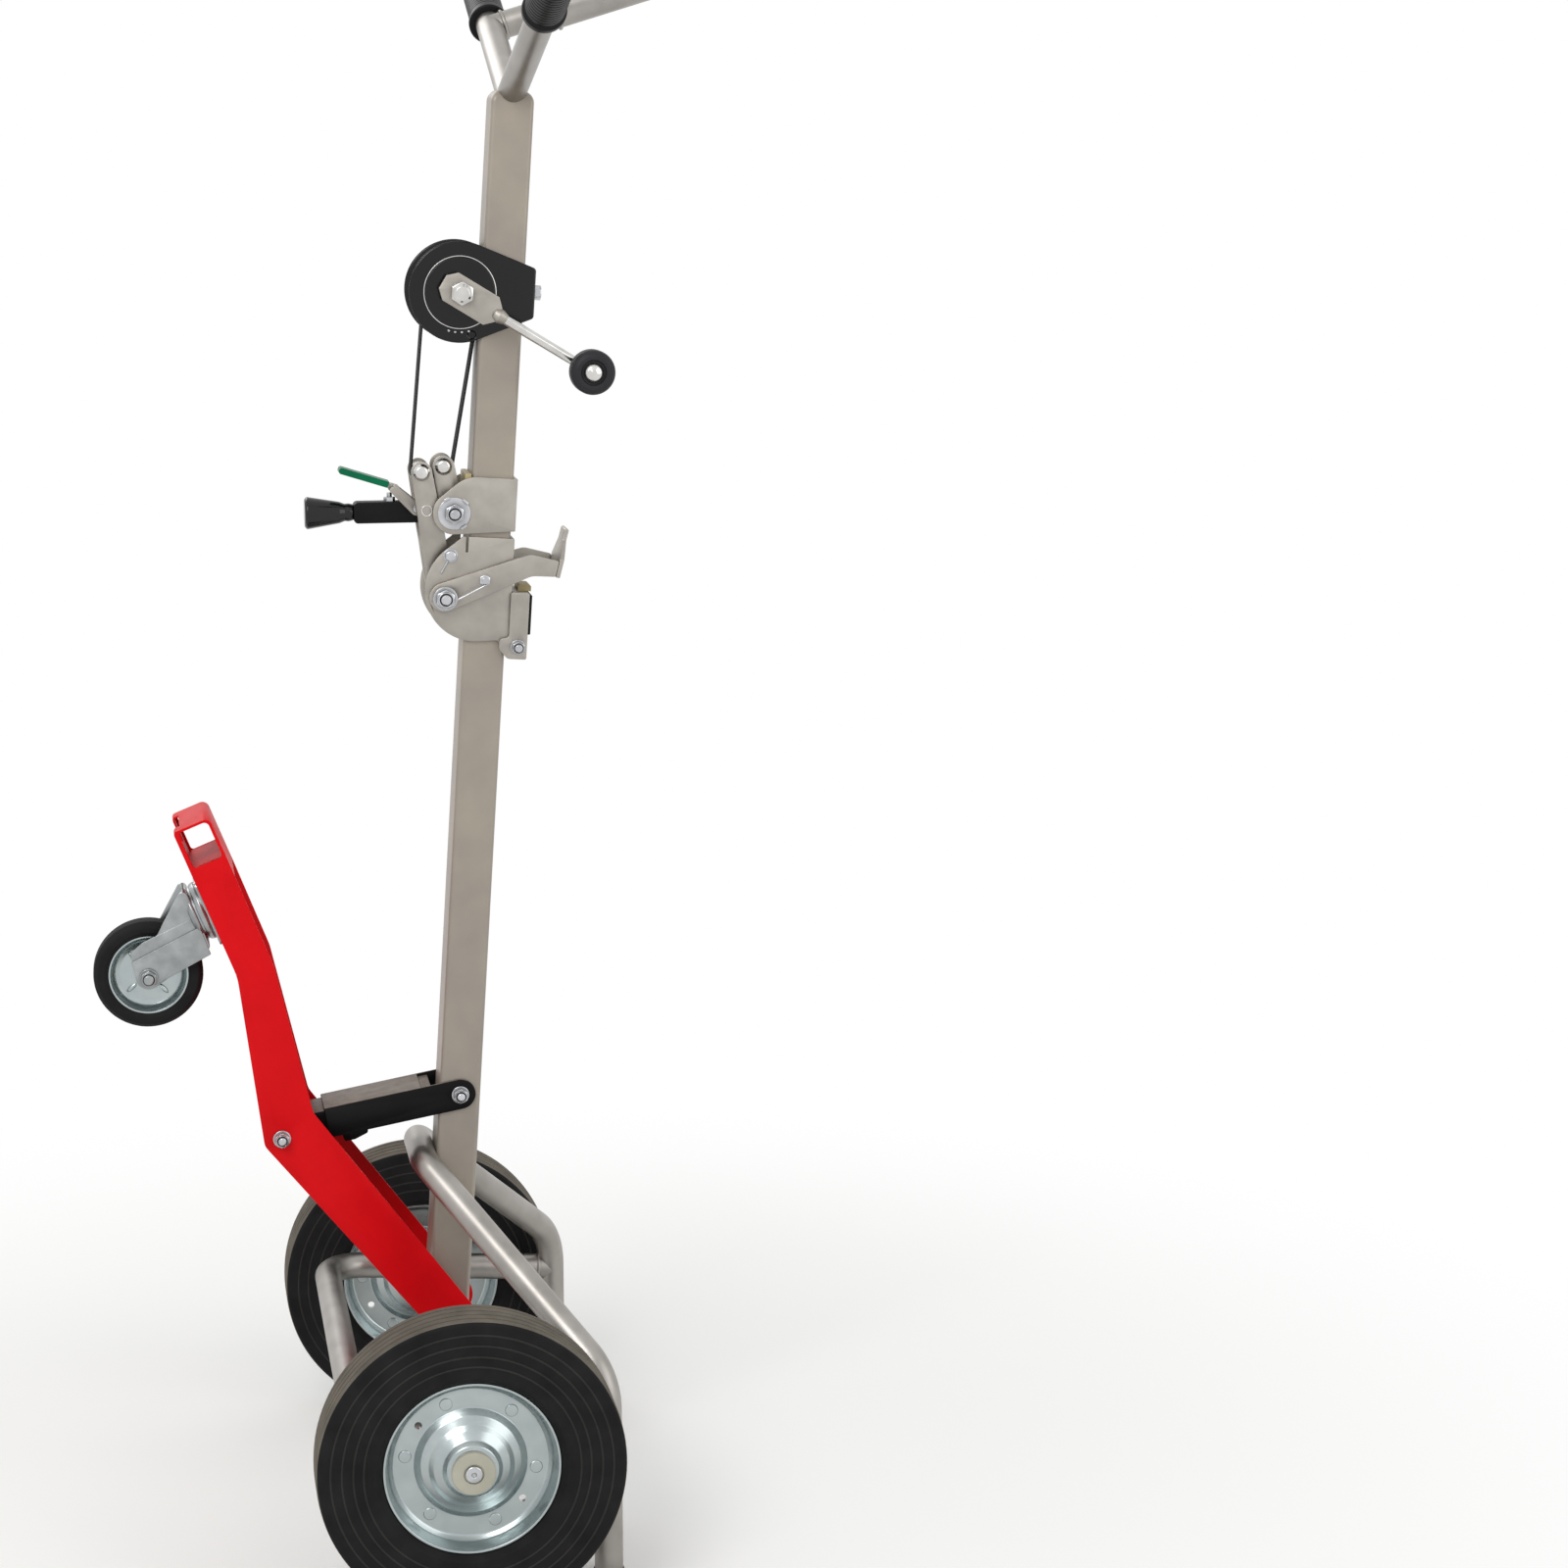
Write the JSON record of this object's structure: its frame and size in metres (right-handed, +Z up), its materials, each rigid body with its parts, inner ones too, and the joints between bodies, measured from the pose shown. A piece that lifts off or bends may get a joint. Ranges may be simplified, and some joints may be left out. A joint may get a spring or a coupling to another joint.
{
  "type": "drum trolley",
  "caption": "Two-wheeled trolley that clamps a drum by its rim and lifts it with a strap winch on its mast, with a fold-out support leg on a castor and a telescopic strut.",
  "frame": {"origin": "bottom centre of the trolley's bounding box, on the floor between the wheels and the feet", "axes": "+Z up, +X forward towards the drum, +Y to the operator's left"},
  "size_m": [0.5952, 0.6836, 1.5078],
  "materials": {
    "mast_grey": "silver-grey powder coat",
    "tube_silver": "galvanised round tube",
    "leg_red": "red powder coat",
    "black_paint": "black powder coat",
    "clamp_zinc": "dull zinc-plated sheet",
    "zinc": "bright zinc plate",
    "rim_zinc": "pressed zinc-plated sheet",
    "tyre_rubber": "matt black solid rubber",
    "black_plastic": "black moulded plastic",
    "cap_plastic": "beige moulded plastic",
    "nylon": "yellowish nylon",
    "green_sleeve": "green dipped sleeve",
    "webbing": "woven black webbing"
  },
  "bodies": {
    "frame": {"mast": "mast_grey", "mast_cap": "mast_grey", "handle_arms": "tube_silver", "handle_bow": "tube_silver", "handle_grip_left": "black_plastic", "handle_grip_right": "black_plastic", "axle": "tube_silver", "base_hoop": "tube_silver", "brace_hoop": "tube_silver", "foot_plugs": "black_plastic", "wheel_retainers": "cap_plastic", "frame_pivot_bolts": "zinc", "winch_cheeks": "black_paint", "winch_clamp_plate": "black_paint", "winch_bolts": "zinc", "lift_strap": "webbing"},
    "winch": {"winch_shaft": "zinc", "strap_spool": "zinc", "strap_roll": "webbing", "brake_disc": "black_paint", "crank_plate": "zinc", "crank_rod": "zinc", "crank_fasteners": "zinc"},
    "knob": {"crank_knob": "black_plastic"},
    "carriage": {"carriage_upper_bracket": "clamp_zinc", "carriage_lower_bracket": "clamp_zinc", "carriage_bolts": "zinc", "slide_pads": "nylon"},
    "lower_jaw": {"lower_jaw": "clamp_zinc", "lower_jaw_pad": "black_plastic", "rim_rest": "nylon"},
    "claw": {"claw_arms": "clamp_zinc", "claw_jaw": "clamp_zinc", "claw_spring_pins": "zinc", "claw_springs": "zinc"},
    "clamp_lever": {"clamp_levers": "clamp_zinc", "clamp_lever_roller": "zinc"},
    "trip": {"trip_links": "clamp_zinc", "trip_link_roller": "zinc", "trip_bar": "black_paint", "trip_grip": "black_plastic", "trip_fasteners": "zinc"},
    "release": {"release_lever": "zinc", "release_sleeve": "green_sleeve"},
    "leg": {"support_leg": "leg_red", "knee_bolt": "zinc", "castor_head": "zinc"},
    "castor_fork": {"castor_fork": "zinc", "castor_axle": "zinc"},
    "castor_wheel": {"castor_rim": "rim_zinc", "castor_tyre": "tyre_rubber"},
    "strut": {"strut_outer": "black_paint"},
    "latch": {"strut_latch": "black_paint"},
    "strut_inner": {"strut_inner": "black_paint"},
    "wheel_left": {"wheel_tyre_left": "tyre_rubber", "wheel_rim_left": "rim_zinc", "wheel_hub_left": "zinc"},
    "wheel_right": {"wheel_tyre_right": "tyre_rubber", "wheel_rim_right": "rim_zinc", "wheel_hub_right": "zinc"}
  },
  "joints": [
    {"name": "wheel_left_spin", "type": "hinge", "parent": "frame", "child": "wheel_left", "pos_m": [0.0303, 0.28, 0.1425], "axis": [0, 1, 0], "continuous": true},
    {"name": "wheel_right_spin", "type": "hinge", "parent": "frame", "child": "wheel_right", "pos_m": [0.0303, -0.28, 0.1425], "axis": [0, 1, 0], "continuous": true},
    {"name": "leg_fold", "type": "hinge", "parent": "frame", "child": "leg", "pos_m": [0.04182, 0, 0.19384], "axis": [0, -1, 0], "range_deg": [0, 23.5]},
    {"name": "castor_swivel", "type": "hinge", "parent": "leg", "child": "castor_fork", "pos_m": [-0.18611, 0, 0.61139], "axis": [0.9294, 0, 0.3691], "continuous": true},
    {"name": "castor_spin", "type": "hinge", "parent": "castor_fork", "child": "castor_wheel", "pos_m": [-0.24564, 0, 0.55052], "axis": [0, 1, 0], "continuous": true},
    {"name": "strut_swing", "type": "hinge", "parent": "frame", "child": "strut", "pos_m": [0.04934, 0, 0.42185], "axis": [0, -1, 0], "range_deg": [-0.5, 16]},
    {"name": "strut_slide", "type": "slide", "parent": "strut", "child": "strut_inner", "axis": [-0.985, 0, -0.1725], "range_m": [-0.001, 0.09]},
    {"name": "latch_rock", "type": "hinge", "parent": "strut", "child": "latch", "pos_m": [-0.04174, 0, 0.38834], "axis": [0, -1, 0], "range_deg": [0, 8], "stiffness_Nm_per_rad": 0.3, "springref_deg": -17.19},
    {"name": "carriage_slide", "type": "slide", "parent": "frame", "child": "carriage", "axis": [0.068, 0, 0.9977], "range_m": [-0.4, 0.06], "deforming": ["lift_strap"]},
    {"name": "winch_turn", "type": "hinge", "parent": "frame", "child": "winch", "pos_m": [0.06108, 0, 1.19685], "axis": [0, 1, 0], "range_deg": [-1467, 222]},
    {"name": "knob_spin", "type": "hinge", "parent": "winch", "child": "knob", "pos_m": [0.17947, -0.07, 1.12401], "axis": [0, 1, 0], "continuous": true},
    {"name": "claw_swing", "type": "hinge", "parent": "carriage", "child": "claw", "pos_m": [0.04174, 0, 0.9101], "axis": [0, -1, 0], "range_deg": [0, 25], "stiffness_Nm_per_rad": 1.5, "springref_deg": -34.38},
    {"name": "clamp_lever_rock", "type": "hinge", "parent": "carriage", "child": "clamp_lever", "pos_m": [0.04174, 0, 0.9101], "axis": [0, -1, 0], "range_deg": [0, 5], "deforming": ["lift_strap"]},
    {"name": "trip_swing", "type": "hinge", "parent": "carriage", "child": "trip", "pos_m": [0.05254, 0, 0.98925], "axis": [0, 1, 0], "range_deg": [0, 6], "deforming": ["lift_strap"]},
    {"name": "release_squeeze", "type": "hinge", "parent": "trip", "child": "release", "pos_m": [0.01854, 0, 0.99225], "axis": [0, -1, 0], "range_deg": [0, 8], "stiffness_Nm_per_rad": 0.5, "springref_deg": -17.19},
    {"name": "lower_jaw_swing", "type": "hinge", "parent": "carriage", "child": "lower_jaw", "pos_m": [0.11083, 0, 0.86069], "axis": [0, 1, 0], "range_deg": [0, 60]}
  ],
  "couplings": [
    {"joint": "strut_swing", "follows": "leg_fold", "ratio": 0.6566},
    {"joint": "strut_slide", "follows": "leg_fold", "m_per_rad": 0.2141},
    {"joint": "winch_turn", "follows": "carriage_slide", "rad_per_m": 63.898}
  ]
}
